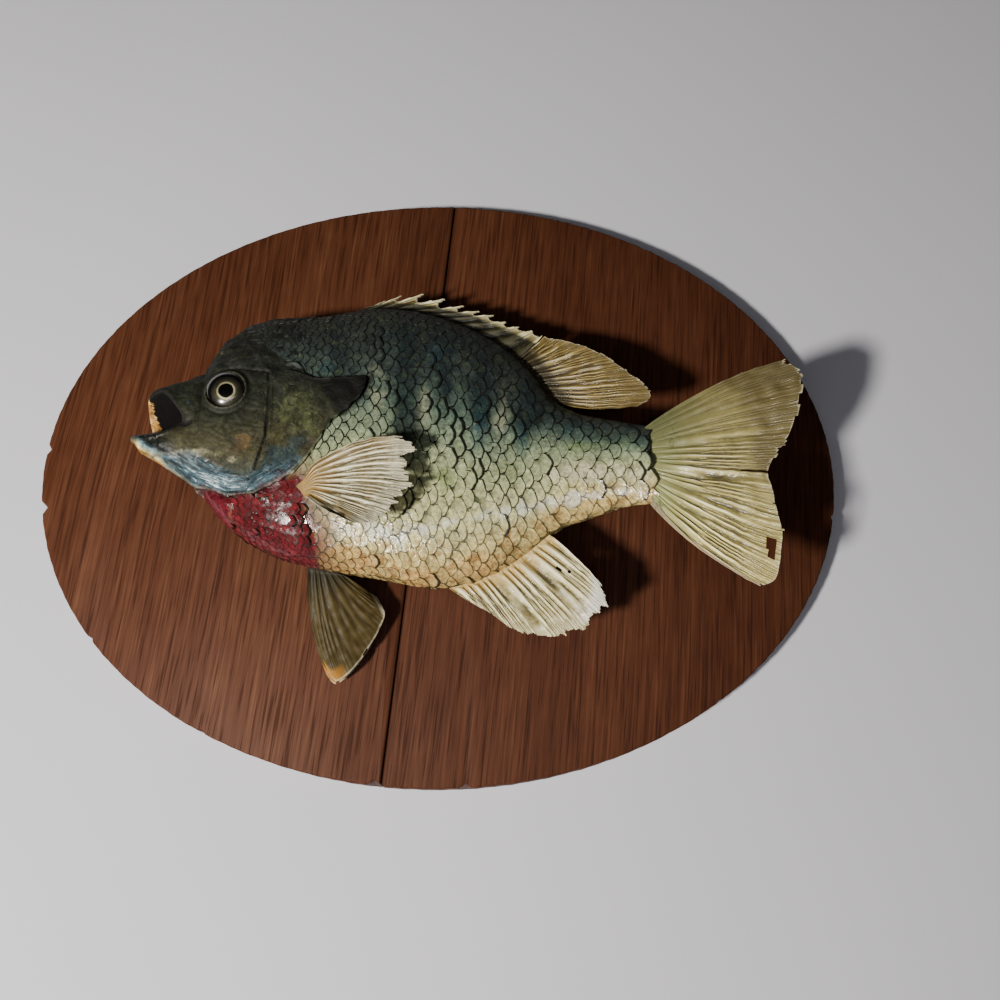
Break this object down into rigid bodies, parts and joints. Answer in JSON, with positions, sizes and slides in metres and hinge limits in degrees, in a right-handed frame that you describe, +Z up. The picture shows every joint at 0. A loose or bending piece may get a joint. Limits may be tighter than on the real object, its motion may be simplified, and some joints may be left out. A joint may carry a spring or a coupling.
{
  "type": "mounted fish",
  "caption": "Mounted sunfish with open mouth and spread fins, varnished, side-on on an oval board of two planks that hangs on a wall.",
  "frame": {"origin": "middle of the board's back face, which lies on the wall", "axes": "+X along the fish from head to tail, the board's long axis; +Y into the wall, out of the board's back; +Z up"},
  "size_m": [0.282, 0.0584, 0.22],
  "materials": {
    "board_wood": "satin varnish over reddish brown stained wood",
    "head_skin": "dried painted fish skin under gloss varnish",
    "jaw_skin": "dried painted fish skin under gloss varnish",
    "gill_skin": "dried painted fish skin under gloss varnish",
    "throat_skin": "dried painted fish skin under gloss varnish",
    "flank_skin": "dried scaled fish skin, painted, under gloss varnish",
    "fin_skin": "dried fin rays and skin, painted, under gloss varnish",
    "dark_fin_skin": "dried fin rays and skin, dark, under satin varnish",
    "eye_glass": "polished painted glass eye"
  },
  "bodies": {
    "root": {"plank_left": "board_wood", "plank_right": "board_wood", "head": "head_skin", "jaw_upper": "head_skin", "jaw_lower": "jaw_skin", "gill_cover_near": "gill_skin", "gill_cover_far": "gill_skin", "throat": "throat_skin", "trunk_front": "flank_skin", "trunk_rear": "flank_skin", "tail_stalk": "flank_skin", "eye_near": "eye_glass", "eye_far": "eye_glass", "fin_dorsal_spiny": "fin_skin", "fin_dorsal_soft": "fin_skin", "fin_anal": "fin_skin", "fin_tail": "fin_skin", "fin_pelvic_near": "dark_fin_skin", "fin_pelvic_far": "fin_skin", "fin_pectoral_near": "fin_skin", "fin_pectoral_far": "fin_skin"}
  },
  "joints": []
}
